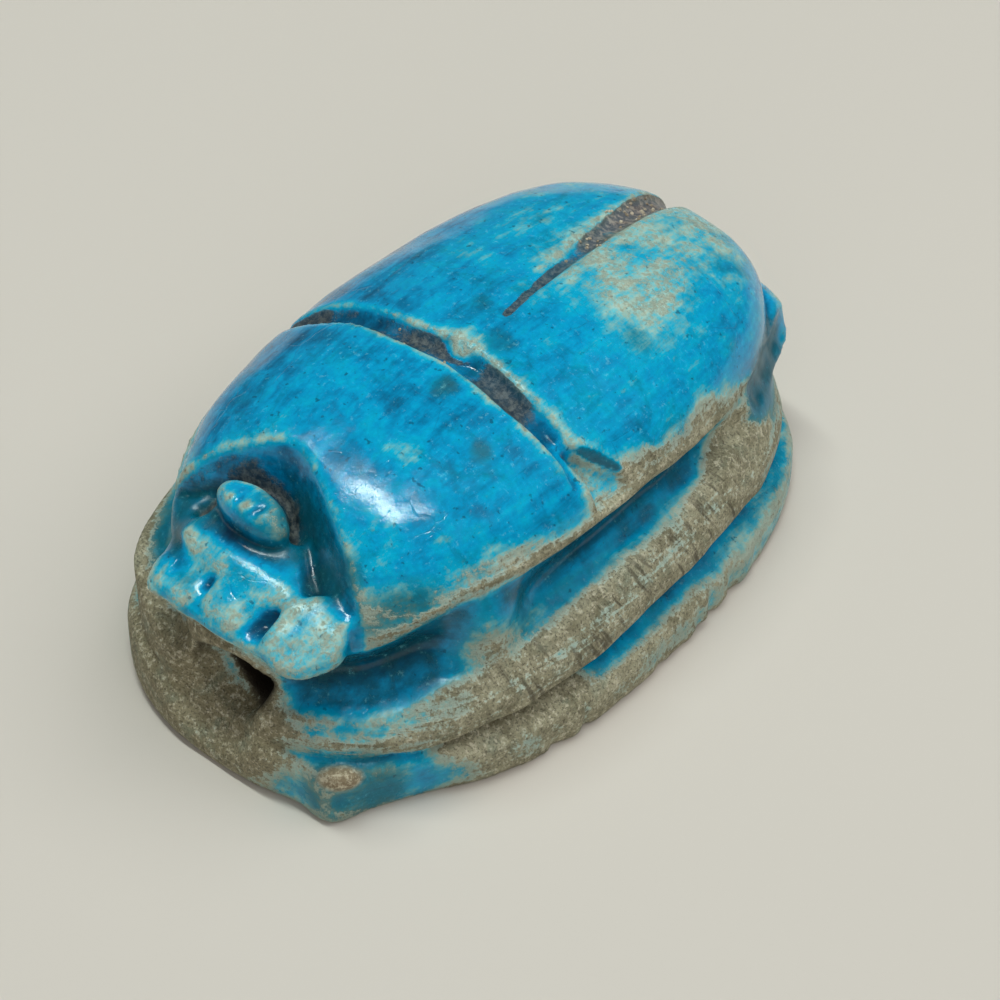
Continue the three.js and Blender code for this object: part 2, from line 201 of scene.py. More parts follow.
groove_z = HEIGHT * around(PLACE, [0.37, 0.46, 0.55, 0.55, 0.54, 0.38, 0.29]) + 0.5 * right_leg
lip_bottom = HEIGHT * around(PLACE, [0.43, 0.55, 0.665, 0.645, 0.6, 0.44, 0.38])
lip_bottom_inset = around(PLACE, [0.07, 0.2, 0.225, 0.22, 0.195, 0, 0.01])
lip_top = HEIGHT * around(PLACE, [0.5, 0.61, 0.7, 0.68, 0.63, 0.54, 0.52])
lip_top_inset = around(PLACE, [0.08, 0.21, 0.21, 0.2, 0.18, 0.01, 0.02])
groove_inset = leg_top_inset + open_groove * (high_inset - leg_top_inset)
rows = [
    (0 * base_top, 0.015 * HALF_WIDTH - broken + chips),
    (0.25 * base_top, chips - broken),
    (0.8 * base_top, 0.003 * HALF_WIDTH - 0.8 * broken + 0.6 * chips),
    (base_top, 0.02 * HALF_WIDTH - 0.5 * broken),
    (base_top + 0.45 * (leg_bottom - base_top), low_inset * HALF_WIDTH),
    (leg_bottom, leg_inset * HALF_WIDTH),
    (leg_bottom + 0.4 * (leg_top - leg_bottom), leg_inset * HALF_WIDTH),
    (leg_top, leg_top_inset * HALF_WIDTH),
    (0.7 * leg_top + 0.3 * shelf_z, (0.5 * leg_top_inset + 0.5 * groove_inset) * HALF_WIDTH),
    (shelf_z, (0.22 * leg_top_inset + 0.78 * groove_inset) * HALF_WIDTH),
    (shelf_z + 0.5 * (groove_z - shelf_z), groove_inset * HALF_WIDTH),
    (groove_z, groove_inset * HALF_WIDTH),
    (lip_bottom, lip_bottom_inset * HALF_WIDTH),
    (lip_top, lip_top_inset * HALF_WIDTH),
]
inset = np.repeat(rows[0][1][:, :, None], len(zs), axis=2)
for (z0, inset0), (z1, inset1) in zip(rows, rows[1:]):
    rise = np.clip((Z - z0[:, :, None]) / (z1 - z0)[:, :, None], 0, 1)
    inset += rise * (inset1 - inset0)[:, :, None]
side = as_distance(FROM_EDGE[:, :, None] + inset)
print("side bands carved from", len(rows), "rows")

# %% [markdown]
# ## The back
# The back is a low dome, squarer than an ellipse both in plan and in section. The same rule that
# gives its height over the plan gives a field: how far a point is along the way from the middle
# to the surface.

# %% The back
def share_of_back(x, y):
    across = np.abs(x / BACK_HALF_WIDTH) ** OVAL_POWER
    along = np.abs((y - BACK_SHIFT) / BACK_HALF_LENGTH) ** OVAL_POWER
    return (across + along) ** (1 / OVAL_POWER)


def rim_and_power(x, y):
    share = share_of_back(x, y)
    angle = place_angle(x, y)
    ease = smoothstep(0.2, 0.8, np.minimum(share, 1))
    side_rim, side_power = 0.645, 2.05
    rims = around(angle, [0.56, 0.615, 0.66, side_rim, 0.62, 0.575, 0.57])
    powers = around(angle, [side_power] * 4 + [2.1, 2.4, 2.5])
    return share, HEIGHT * (side_rim + ease * (rims - side_rim)), side_power + ease * (powers - side_power)


def back_height(x, y):
    share, rim, power = rim_and_power(x, y)
    share = np.minimum(share, 1)
    return rim + (HEIGHT - rim) * (1 - share**power) ** (1 / power)


SHARE, RIM, POWER = (v[:, :, None] for v in rim_and_power(X2, Y2))
up = np.clip((Z - RIM) / (HEIGHT - RIM), 0, None)
dome = as_distance((SHARE**POWER + up**POWER) ** (1 / POWER) - 1)
dome = np.maximum(dome, lip_bottom[:, :, None] - Z)
ledge = np.clip((-FROM_EDGE - lip_top_inset * HALF_WIDTH) / 0.45, 0, 1)
ledge = lip_top + ledge * np.maximum(RIM[:, :, 0] - lip_top, 0)
stone = joined(np.maximum(side, Z - ledge[:, :, None]), dome, 0.12)

# %% [markdown]
# ## The head
# The head sits in a notch cut back into the thorax. The notch's front edge is a blunt arrow whose
# two arms aren't quite alike. Inside it the stone is cut down to a slope, with ditches at the foot
# of the arms and behind the eyes and a very shallow one at the back of the plate. They follow
# paths drawn on the plan, so we need the distance to a path.

# %% The notch
NOTCH_X = -0.15 * HALF_WIDTH
NOTCH_Y = -0.54 * HALF_LENGTH
FACE_REAR, FACE_FRONT = 0.79 * HEIGHT, 0.58 * HEIGHT


def notch_edge(x):
    off = x - NOTCH_X
    rounding = 0.1 * HALF_WIDTH
    slope = np.where(off > 0, 0.62, 0.74)
    return NOTCH_Y - slope * (np.hypot(off, rounding) - rounding)


def path_gap(x, y, path):
    """Distance on the plan from each point to a path of straight runs."""
    gap = np.full(np.broadcast_shapes(x.shape, y.shape), 99.0)
    for (ax, ay), (bx, by) in zip(path, path[1:]):
        dx, dy = bx - ax, by - ay
        along = np.clip(((x - ax) * dx + (y - ay) * dy) / (dx * dx + dy * dy), 0, 1)
        gap = np.minimum(gap, np.hypot(x - ax - along * dx, y - ay - along * dy))
    return gap


def face_slope(y):
    return FACE_REAR + (FACE_FRONT - FACE_REAR) * (y - NOTCH_Y) / (-HALF_LENGTH - NOTCH_Y)


DITCHES = [
    ([(-2.7, -7.9), (-2.5, -7.0), (-2.0, -6.62), (-1.2, -6.52), (-0.5, -6.7), (0.0, -7.3)], 0.26, 0.5),
    ([(-4.4, -7.75), (-3.4, -7.35), (-2.75, -6.85), (-2.3, -6.45)], 0.26, 0.4),
    ([(-0.2, -6.75), (0.5, -7.2), (1.3, -7.9), (2.2, -8.6), (3.0, -9.2)], 0.36, 0.42),
    ([(-2.0, -8.35), (-0.8, -8.6), (0.6, -8.25), (1.4, -8.1)], 0.4, 0.06),
]


def face_height(x, y):
    height = face_slope(y) - 0.5 * smoothstep(-2.2, -3.4, x) - 0.2 * smoothstep(1.6, 3.2, x)
    for path, spread, depth in DITCHES:
        height = height - depth * bell(path_gap(x, y, path), spread)
    return height


floor_z = face_height(X2, Y2)[:, :, None]
lean = 0.4 * (back_height(X2, Y2)[:, :, None] - Z)
wall = (Y - notch_edge(X) + np.clip(lean, -0.1, 0.6)) * 0.8
head_air = np.maximum(np.maximum(wall, floor_z - Z), np.abs(X) - 5.475)

# %% [markdown]
# The plate in front of the head is a fan of flat worn lobes, the beetle's toothed digging edge.
# Each lobe is an oval on the plan with a flat top. A gap and two thin cuts part them, and a low
# neck of stone leads from the plate back to the eyes.

# %% The plate
LOBE_POWER = 2.6
LOBE_BLEND = 0.16


def ball(x, y, z, size, turn=0.0):
    """A ball or flattened ball by its centre, its three widths and its turn about Z in degrees."""
    across, along = turned(X - x, Y - y, turn)
    parts = (v / (width / 2) for v, width in zip((across, along, Z - z), size))
    return (np.sqrt(sum(v**2 for v in parts)) - 1) * min(size) / 2


def flat_lobe(x, y, width, length, turn, top, tilt=0.0):
    across, along = turned(X - x, Y - y, turn)
    outline = np.abs(across / (width / 2)) ** LOBE_POWER + np.abs(along / (length / 2)) ** LOBE_POWER
    outline = (outline ** (1 / LOBE_POWER) - 1) * width / 2
    crown = Z - face_slope(Y) - top - tilt * (X - x) + 0.4 * np.clip(outline / width + 0.5, 0, 1) ** 2
    return -joined(-outline, -crown, LOBE_BLEND)


under = face_slope(-HALF_LENGTH) - 0.3
plate_rear, plate_front = -0.73 * HALF_LENGTH, -0.925 * HALF_LENGTH
half = 3.1 - 0.75 * (Y - plate_rear) / (plate_front - plate_rear)
bow = 0.28 * (1 - np.clip((X + 0.1) / 2.4, -1, 1) ** 2)
slab = np.maximum(np.maximum(np.abs(X + 0.25) - half, under - Z), plate_front - bow - Y)
slab = np.maximum(slab, np.maximum(Z - floor_z + 0.2, Y - plate_rear - 0.1))
lobes = [
    (-2.4, -9.85, 0.85, 1.2, 24, -0.26, 0.1),
    (-1.4, -9.7, 1.0, 1.5, 14, -0.06, 0.1),
    (0.0, -9.5, 1.65, 1.7, -6, 0.06, -0.04),
    (2.3, -9.35, 1.9, 2.2, -24, 0.0, -0.14),
]
stone = cut(joined(stone, slab, 0.08), head_air, 0.08)
stone = joined(stone, ball(-0.5, -8.45, 5.35, (3.6, 1.8, 1.1)), 0.25)
for x, y, width, length, turn, top, tilt in lobes:
    pad = np.maximum(flat_lobe(x, y, width, length, turn, top, tilt), under - Z)
    stone = joined(stone, pad + 0.05 * lumps(X, Y, Z, 0.5, 35), LOBE_BLEND)
stone = cut(stone, ball(1.12, -10.0, 5.3, (0.5, 1.7, 0.75), -8), 0.12)
for x, y, turn in ((-0.88, -9.95, 8), (-2.0, -10.0, 22)):
    stone = cut(stone, ball(x, y, face_slope(y) + 0.1, (0.26, 1.2, 0.4), turn), 0.1)

# %% [markdown]
# The eyes were left standing as one short bar in the notch. It is a flattened ball with two small
# cuts, and a slanting plane takes its top off, because the real one is faceted, not round.

# %% The eyes
eyes = ball(-1.12, -7.62, 6.25, (2.7, 1.3, 1.5), -8)
eyes = cut(eyes, ball(-0.72, -7.95, 7.0, (0.3, 1.1, 0.6), -20), 0.06)
eyes = cut(eyes, ball(-1.42, -7.95, 7.0, (0.32, 1.1, 0.6), -6), 0.06)
eyes = np.maximum(eyes, Z - 6.84 - 0.12 * (X + 1) + 0.22 * (Y + 7.6) + 0.08 * lumps(X, Y, Z, 0.4, 41))
stone = joined(stone, eyes, 0.1)

# %% [markdown]
# ## Grooves
# A groove is a round rod sunk into the surface along a path. The rod's radius comes from how wide
# the groove is at the surface and how deep it goes, so it can widen along the way, as the groove
# between the wing cases does.

# %% A rod along a path
def rod(path, radii):
    path = np.array(path)
    field = np.full(stone.shape, 9.0)
    for a, b, ra, rb in zip(path, path[1:], radii, radii[1:]):
        run = b - a
        reach = max(ra, rb) + 1.0
        low, high = np.minimum(a, b) - reach, np.maximum(a, b) + reach
        box = tuple(slice(*np.searchsorted(v, (l, h))) for v, l, h in zip((xs, ys, zs), low, high))
        x, y, z = X[box[0]], Y[:, box[1]], Z[:, :, box[2]]
        along = ((x - a[0]) * run[0] + (y - a[1]) * run[1] + (z - a[2]) * run[2]) / (run @ run)
        along = np.clip(along, 0, 1)
        gap = (x - a[0] - along * run[0]) ** 2 + (y - a[1] - along * run[1]) ** 2
        gap = np.sqrt(gap + (z - a[2] - along * run[2]) ** 2) - (ra + along * (rb - ra))
        field[box] = np.minimum(field[box], gap)
    return field


def back_normal(x, y):
    d = 0.02
    sx = (back_height(x + d, y) - back_height(x - d, y)) / (2 * d)
    sy = (back_height(x, y + d) - back_height(x, y - d)) / (2 * d)
    n = np.stack([-sx, -sy, np.ones_like(sx)], axis=-1)
    return n / np.linalg.norm(n, axis=-1, keepdims=True)


def back_groove(x, y, width, depth):
    radius = (width**2 / 4 + depth**2) / (2 * depth)
    centre = np.stack([x, y, back_height(x, y)], axis=-1)
    return rod(centre + back_normal(x, y) * (radius - depth)[:, None], radius)


# %% [markdown]
# Both grooves follow the height of the dome, so they keep their depth while the back falls away.
# Their width swells and shrinks a little, and a knob of stone is left standing where they meet.

# %% The thorax groove and the groove between the wing cases
run = np.linspace(-1, 1, 61)
thorax_x = -0.28 + run * 5.42
thorax_y = (-0.1 - 0.055 * (thorax_x / BACK_HALF_WIDTH) ** 2) * HALF_LENGTH
wobble = 0.06 * np.sin(thorax_x * 1.7 + 0.6)
fade = 1 - 0.45 * smoothstep(0.75, 1, np.abs(run))
thorax_width = (0.78 + 0.1 * np.sin(run * 5)) * fade
thorax = back_groove(thorax_x, thorax_y + wobble, thorax_width, 0.38 * fade)
part = np.linspace(0, 1, 50)
wing_x = (1 - 2 * part) * 0.065 * HALF_WIDTH
wing_y = 1.0 + part * (BACK_SHIFT + 0.99 * BACK_HALF_LENGTH - 1.0)
wing_width = 0.2 + 0.72 * smoothstep(0, 0.75, part)
wing = back_groove(wing_x, wing_y, wing_width, 0.09 + 0.2 * part)
stone = cut(stone, thorax, 0.05)
stone = cut(stone, wing, 0.05)
stone = joined(stone, ball(0.35, -0.62, 8.02, (1.0, 0.8, 0.75)), 0.1)

# %% [markdown]
# ## Damage
# Where the thorax groove meets the left edge a flake is gone. Two planes cut it, a sloping floor
# and the wall behind it, and both are kept as a helper because the paint needs them again. The
# bore's front mouth has been worn by the thread into a wide dish.

# %% Nick, dish and bore
BORE_X, BORE_Z, BORE_RADIUS = 0.4, 3.05, 1.05


def nick_planes(x, y, z):
    """Distances to the flake's sloping floor and to the wall behind it, negative where stone is gone."""
    floor = -0.62 * (x - 4.85) + 0.1 * (y + 0.75) - 0.78 * (z - 6.26)
    wall = -0.69 * (x - 4.45) + 0.72 * (y + 1.05)
    return floor + 0.05 * lumps(x, y, z, 0.45, 33), wall + 0.05 * lumps(x, y, z, 0.4, 34)


nick_floor, nick_wall = nick_planes(X, Y, Z)
nick = np.maximum(np.maximum(nick_floor, nick_wall), -1.3 - Y)
stone = cut(stone, nick, 0.01)
stone = cut(stone, ball(-0.2, -11.55, 2.6, (4.6, 3.0, 4.5)), 0.2)
stone = cut(stone, ball(0.05, -10.2, 2.7, (2.5, 2.2, 2.3)), 0.1)
hole = np.hypot(X - BORE_X, Z - BORE_Z) - BORE_RADIUS
stone = cut(stone, hole + 0 * Y, 0.1)

# %% [markdown]
# The left wing case has lost its edge near the tail. A rod along the broken edge takes it off, with
# lumps on it for the rough break. A grain of harder stone stands out of the broken front corner,
# with a pit above it.

# %% Chipped edge, harder grain and broken corner
HARD_GRAIN = (3.97, -10.08, 1.5)
flake_path = [(5.75, 5.6, 5.0), (5.75, 6.6, 4.75), (5.45, 7.8, 4.6), (5.05, 9.0, 4.5), (4.4, 10.3, 4.4)]
flake = rod(flake_path, [0.1, 0.75, 1.0, 1.0, 0.8])
flake = flake + 0.1 * lumps(X, Y, Z, 0.8, 31) + 0.05 * lumps(X, Y, Z, 0.35, 32)
stone = cut(stone, flake, 0.04)
for x, y, z, size, turn in (
    (4.7, -10.7, 0.9, (1.5, 1.5, 1.6), 20),
    (3.4, -11.4, 0.5, (1.6, 1.2, 1.3), 0),
    (3.95, -9.95, 2.0, (1.1, 0.5, 0.42), 42),
):
    stone = cut(stone, ball(x, y, z, size, turn), 0.04)
stone = joined(stone, ball(*HARD_GRAIN, (1.05, 0.6, 0.52), 42), 0.03)

# %% [markdown]
# ## Softening
# Handling rounds every edge. Averaging the field over a small neighbourhood does the same. The
# averaging is also useful on its own: where the average is well below zero the point lies in a
# hollow, and where it is above zero the point is on a ridge, so it tells the paint where glaze
# pools, where bare stone gets painted shade and where glaze rubs off.

# %% Averages
def averaged(field, radius):
    n = max(int(round(radius / STEP)), 1)
    for axis in range(3):
        for _ in range(2):
            padded = np.pad(field, [(n + 1, n) if k == axis else (0, 0) for k in range(3)], "edge")
            total = np.cumsum(padded, axis=axis)
            high = np.take(total, range(2 * n + 1, total.shape[axis]), axis)
            low = np.take(total, range(0, total.shape[axis] - 2 * n - 1), axis)
            field = (high - low) / (2 * n + 1)
    return field


stone = np.clip(as_distance(stone), -1.5, 1.5)
stone = 0.55 * stone + 0.45 * averaged(stone, STEP)
waves = 0.035 * lumps(X, Y, Z, 2.6, 3) + 0.03 * lumps(X, Y, Z, 0.9, 4)
stone = np.maximum(stone + waves * smoothstep(0.1, 0.8, Z), -Z)
fine_average = averaged(stone, 0.22)
broad_average = averaged(stone, 0.65)

# %% [markdown]
# ## From numbers to a skin
# The surface is where the field passes through zero. Each grid cell that the surface crosses gets
# one point, at the average of the places where its edges are crossed, and points of neighbouring
# cells are joined by squares.

# %% Skin
def skin(field):
    solid = field < 0
    total = np.zeros(tuple(n - 1 for n in field.shape) + (3,))
    count = np.zeros(total.shape[:3])
    corner = np.stack(np.meshgrid(xs[:-1], ys[:-1], zs[:-1], indexing="ij"), axis=-1)
    for axis in range(3):
        for s in (0, 1):
            for t in (0, 1):
                near = [slice(None)] * 3
                far = [slice(None)] * 3
                others = [k for k in range(3) if k != axis]
                near[axis], far[axis] = slice(0, -1), slice(1, None)
                for k, v in zip(others, (s, t)):
                    near[k] = far[k] = slice(v, field.shape[k] - 1 + v)
                a, b = field[tuple(near)], field[tuple(far)]
                crossed = (a < 0) != (b < 0)
                where = np.where(crossed, a / np.where(crossed, a - b, 1), 0)
                count += crossed
                total[..., axis] += where * crossed
                total[..., others[0]] += s * crossed
                total[..., others[1]] += t * crossed
    used = count > 0
    index = np.full(used.shape, -1)
    index[used] = np.arange(used.sum())
    points = corner[used] + total[used] / count[used][:, None] * STEP
    quads = []
    for axis in range(3):
        others = [k for k in range(3) if k != axis]
        low = [slice(1, -1)] * 3
        high = [slice(1, -1)] * 3
        low[axis], high[axis] = slice(0, -1), slice(1, None)
        a, b = solid[tuple(low)], solid[tuple(high)]
        i = np.argwhere(a != b)
        leaves = a[tuple(i.T)]
        i[:, others] += 1
        ring = []
        for s, t in ((-1, -1), (0, -1), (0, 0), (-1, 0)):
            j = i.copy()
            j[:, others[0]] += s
            j[:, others[1]] += t
            ring.append(index[tuple(j.T)])
        ring = np.stack(ring, axis=1)
        turn = leaves if axis != 1 else ~leaves
        quads.append(np.where(turn[:, None], ring, ring[:, ::-1]))
    return points, np.concatenate(quads)


points, quads = skin(stone)
print("skin of", len(points), "points and", len(quads), "squares")


# %% [markdown]
# The underside is flat, so it needs no fine grid. Its inner squares are taken out and the hole is
# closed with one face.

# %% The mesh
def sample(field, p):
    """The field's value at loose points, blended between grid corners."""
    at = [(p[:, k] - v[0]) / STEP for k, v in enumerate((xs, ys, zs))]
    low = [np.clip(np.floor(a).astype(int), 0, n - 2) for a, n in zip(at, field.shape)]
    share = [a - l for a, l in zip(at, low)]
    total = np.zeros(len(p))
    for dx in (0, 1):
        for dy in (0, 1):
            for dz in (0, 1):
                weight = np.abs(1 - dx - share[0]) * np.abs(1 - dy - share[1])
                weight = weight * np.abs(1 - dz - share[2])
                total += weight * field[low[0] + dx, low[1] + dy, low[2] + dz]
    return total


def on_plan(values, p):
    """The value of the grid column in which each loose point stands."""
    return sample(np.repeat(values[:, :, None], 2, axis=2), p * [1, 1, 0] + [0, 0, zs[0]])


flat = (points[:, 2] < 0.02) & (on_plan(FROM_EDGE, points) < -0.5)
kept = quads[~flat[quads].all(axis=1)]
used, quads = np.unique(kept, return_inverse=True)
quads, points = quads.reshape(-1, 4), points[used]

mesh = bpy.data.meshes.new("scarab_carved")
mesh.from_pydata((points * 0.001).tolist(), [], quads.tolist())
bm = bmesh.new()
bm.from_mesh(mesh)
rim = [e for e in bm.edges if e.is_boundary]
bmesh.ops.holes_fill(bm, edges=rim, sides=0)
bmesh.ops.recalc_face_normals(bm, faces=bm.faces)
for f in bm.faces:
    f.smooth = len(f.verts) == 4
print("open edges", sum(e.is_boundary for e in bm.edges))
bm.to_mesh(mesh)
bm.free()
carved = bpy.data.objects.new("scarab_carved", mesh)
bpy.context.scene.collection.objects.link(carved)
print("triangles", sum(len(p.vertices) - 2 for p in mesh.polygons))

# %% [markdown]
# ## Where things lie
# Before painting, each point of the mesh is told where it is: how high, how far in from the edge,
# how far round, and whether it lies in a hollow or on a ridge. All of it comes from the same bands
# that shaped the stone, so the paint always follows the carving.

# %% Places on the mesh
co = np.array([v.co for v in mesh.vertices]) * 1000
px, py, pz = co.T
left = smoothstep(-0.5, 0.5, px)


def dab(x, y, z, size, turn=0.0, edge=0.5):
    """1 in the middle of a ball by its centre, widths and turn, easing to 0 past its edge."""
    across, along = turned(px - x, py - y, turn)
    parts = (v / (width / 2) for v, width in zip((across, along, pz - z), size))
    return 1 - smoothstep(1 - edge, 1 + edge, np.sqrt(sum(v**2 for v in parts)))


def between(low, high, v, soft=0.15):
    return smoothstep(low - soft, low + soft, v) * (1 - smoothstep(high - soft, high + soft, v))


angle, inward = on_plan(PLACE, co), -on_plan(FROM_EDGE, co)
lip_z, leg_low, leg_high, base_z = (on_plan(v, co) for v in (lip_bottom, leg_bottom, leg_top, base_top))
hollow = np.clip(-sample(fine_average, co) / 0.11, -1, 1)
deep = np.clip(-sample(broad_average, co) / 0.4, -1, 1)
wobbly = 0.25 * lumps(px, py, pz, 1.3, 11) + 0.12 * lumps(px, py, pz, 0.5, 12)
in_notch = 1 - smoothstep(-0.15, 0.1, py - notch_edge(px))
in_notch = in_notch * between(4.2, 9, pz)
on_plate = between(-10.9, -8.6, py, 0.25) * in_notch * smoothstep(-0.25, -0.05, pz - face_slope(py))
in_channel = between(0.1, 9, pz - leg_high) * (1 - smoothstep(-0.15, 0.05, pz - lip_z))
in_channel *= smoothstep(0.7, 1.3, inward)
print("hollow from", hollow.min().round(2), "to", hollow.max().round(2))

# %% [markdown]
# ## How thick the glaze is
# One number decides most of the colour: the thickness of the glaze. At 0 it is gone and the stone
# shows, a little of it is a milky green, the usual coat is bright blue, and where it pooled it is
# nearly ink. So we start with an even coat, add to it in the hollows, partly as pooled glaze and
# partly as painted shade, and take it off where hands and thread rubbed: the lip of the back, the
# legs, the base and the front round the bore.

# %% Wear of the sides
worn_y = [-8.1, -7.4, -6.3, -4.3, -3.7, -2.3, -0.5, 0.1, 1.3, 3.6, 5.3, 6.0]
worn_z = [5.75, 5.85, 6.1, 6.3, 6.25, 5.95, 6.0, 6.45, 6.25, 5.95, 5.6, 5.4]
worn_to = np.interp(py, worn_y, worn_z) * left + 5.9 * (1 - left)
on_lip = between(-0.1, 9, pz - lip_z) * (1 - smoothstep(-0.35, 0.6, pz - worn_to + wobbly))
on_lip *= between(-9.2, 6.3, py, 0.4) * smoothstep(0.6, 1.1, inward) * (1 - in_notch)
on_leg = between(-0.12, 9, pz - leg_low) * (1 - smoothstep(-0.4, 0.3, pz - leg_high + wobbly))
on_leg *= 1 - smoothstep(1.0, 1.6, inward)
on_shelf = between(-0.3, 1.0, pz - leg_high, 0.25) * between(0.5, 2.6, inward)
on_base = (1 - smoothstep(-0.1, 0.2, pz - base_z)) * (1 - smoothstep(0.5, 1.0, inward))
in_gap = between(0.0, 9, pz - base_z) * (1 - smoothstep(-0.1, 0.1, pz - leg_low)) * (1 - on_base)
front = dab(-0.3, -11.0, 2.4, (6.2, 3.4, 5.4), edge=0.3) + dab(-3.2, -10.2, 2.2, (3.4, 2.6, 3.8), -35)
front = np.clip(front * (1 - smoothstep(4.6, 4.75, pz)), 0, 1)
bore = 1 - smoothstep(0.05, 0.25, np.hypot(px - BORE_X, pz - BORE_Z) - BORE_RADIUS)
cave = dab(0.05, -10.2, 2.9, (2.5, 2.2, 2.2), edge=0.1)
underside = 1 - smoothstep(0, 0.05, pz)
print("points on the lip", int((on_lip > 0.5).sum()), "and on the legs", int((on_leg > 0.5).sum()))

# %% [markdown]
# Now the coat itself. Each line adds or takes away some thickness at one named place: pools in the
# hollows, painted shade on the far side of the back, in the channel under the lip, in the groove
# under the legs and in the head's notch, a paler plate that is partly a painted highlight, a pale
# patch on the left wing case, then the rubbing of the lip, the legs, the shelf above them and the
# base, and last the flakes that broke off, with painted shade on the upper wall of the nick.

# %% Thickness of the glaze
thickness_and_painted_light = 0.7 + 0.07 * lumps(px, py, pz, 3.2, 13) + 0.5 * np.clip(hollow, 0, 1) + 0.2 * np.clip(deep, 0, 1)
# The first term thickens the glaze on the far, -X side of the back as painted shade; the second thickens the
# top of the front half.
thickness_and_painted_light += 0.14 * smoothstep(-1.0, -5.0, px) * (pz > 5) + 0.06 * between(-9, -1.6, py) * (pz > 6.4)
# Further in, the channel under the lip and the groove under the legs get thicker, darker glaze: partly pooled
# glaze and partly painted shade under the overhang, more at the front.
thickness_and_painted_light += in_channel * (0.5 * smoothstep(1.3, 2.1, inward) - 0.16)
thickness_and_painted_light += in_gap * (0.5 * smoothstep(0.7, 1.2, inward) - 0.1)
thickness_and_painted_light += 0.3 * in_channel * (1 - smoothstep(-6.6, -5.4, py))
thickness_and_painted_light -= 0.8 * np.clip(-hollow - 0.06, 0, 1)
# Thicker glaze in the head's notch is painted shade. The plate is made paler, partly as thin milky glaze and
# partly as a painted highlight.
thickness_and_painted_light += 0.16 * in_notch * (1 - on_plate) - 0.34 * on_plate
thickness_and_painted_light -= 0.2 * dab(-1.1, -7.66, 6.8, (2.6, 1.2, 0.9), -8, 0.5)
milky = np.zeros(len(co))
for x, y, z, size, turn, edge, much in (
    (1.6, 6.2, 7.8, (3.0, 6.4, 4.0), -16, 0.8, 0.36),
    (2.9, 4.3, 7.8, (2.6, 2.8, 2.6), 0, 0.8, 0.3),
    (1.0, 9.2, 6.8, (3.6, 2.2, 3.0), 0, 0.7, 0.2),
    (-2.0, 5.6, 7.8, (4.0, 8.0, 3.0), 14, 0.7, 0.16),
    (1.5, -4.6, 8.0, (1.3, 0.7, 1.2), 0, 0.8, 0.22),
    (0.35, -0.5, 8.5, (1.3, 1.1, 1.2), 0, 0.5, 0.3),
):
    milky += much * dab(x, y, z, size, turn, edge)
thickness_and_painted_light = np.maximum(thickness_and_painted_light - milky, 0.3)
lip_rub = np.interp(py, [-8.5, -6.4, -4.6, -2, 6], [0.3, 0.42, 0.74, 0.86, 0.84])
leg_rub = np.interp(py, [-9.8, -8.8, -8, -6, 4.5, 6], [0.36, 0.46, 0.56, 0.66, 0.8, 0.5])
leg_rub = leg_rub * left + 0.5 * (1 - left)
leg_rub = leg_rub * (1 - 0.36 * smoothstep(-0.5, 0.2, pz - leg_high) * between(-8.4, -2.5, py, 0.8))
thickness_and_painted_light -= lip_rub * on_lip + leg_rub * on_leg
thickness_and_painted_light -= on_shelf * left * np.interp(py, [-9, -7.4, -5.8, -3.6, -1.5, 4], [0, 0.06, 0.5, 0.52, 0.3, 0.22])
thickness_and_painted_light += 0.35 * dab(5.4, -4.7, 4.6, (1.3, 1.6, 1.6), edge=0.5)
base_y = [-9.4, -8.2, -7.4, -6.6, -3, -1.2, 2.5, 4]
base_rub = np.interp(py, base_y, [0.1, 0.0, 0.4, 0.74, 0.72, 0.62, 0.45, 0.25])
thickness_and_painted_light -= on_base * (base_rub * left + 0.45 * (1 - left))
thickness_and_painted_light += 0.2 * dab(6.65, -5.2, 1.15, (1.0, 3.6, 0.7), 12, 0.6)
thickness_and_painted_light -= in_gap * left * (0.1 + 1.2 * between(-7.9, -3.0, py, 0.8))
thickness_and_painted_light -= 0.85 * dab(5.6, 5.3, 4.0, (2.4, 3.6, 1.6), 8, 0.35)
thickness_and_painted_light -= 0.32 * dab(-4.9, -8.2, 3.4, (3.4, 5.0, 3.4), 30, 0.6)
nick_floor, nick_wall = nick_planes(px, py, pz)
gone = dab(4.95, -0.7, 6.6, (1.6, 1.7, 1.5), edge=0.2)
nick_face = (1 - smoothstep(0.03, 0.15, np.abs(nick_floor))) * (1 - smoothstep(-0.05, 0.1, nick_wall)) * gone
nick_wall = (1 - smoothstep(0.03, 0.15, np.abs(nick_wall))) * (1 - smoothstep(-0.2, 0.1, nick_floor)) * gone
nick_face = np.maximum(nick_face, nick_wall)
# Painted shade: the upper part of the nick's wall, under the broken edge, is made dark and green.
nick_wall = nick_wall * smoothstep(6.84, 7.0, pz + 0.95 * (px - 4.7) + 0.5 * wobbly)
thickness_and_painted_light += (0.26 - thickness_and_painted_light) * nick_face
thickness_and_painted_light += (0.8 - thickness_and_painted_light) * nick_wall
thickness_and_painted_light += (1.0 - thickness_and_painted_light) * dab(4.9, 7.9, 4.3, (1.8, 4.8, 1.8), 20, 0.5)
thickness_and_painted_light = (thickness_and_painted_light + 0.2) * (1 - front) * (1 - bore) * (1 - 0.75 * underside) - 0.2
print("thickness from", thickness_and_painted_light.min().round(2), "to", thickness_and_painted_light.max().round(2))

# %% [markdown]
# Copper turned green where damp stood, soil packed the grooves, and the legs keep file strokes.
# The green also darkens the head's notch, partly as painted shade, and the nick's upper wall as
# painted shade. A shader can read only what the mesh carries, so each of these is stored as one
# number for each point, beside the thickness.

# %% Green blotches, packed dirt and file strokes
green = np.zeros(len(co))
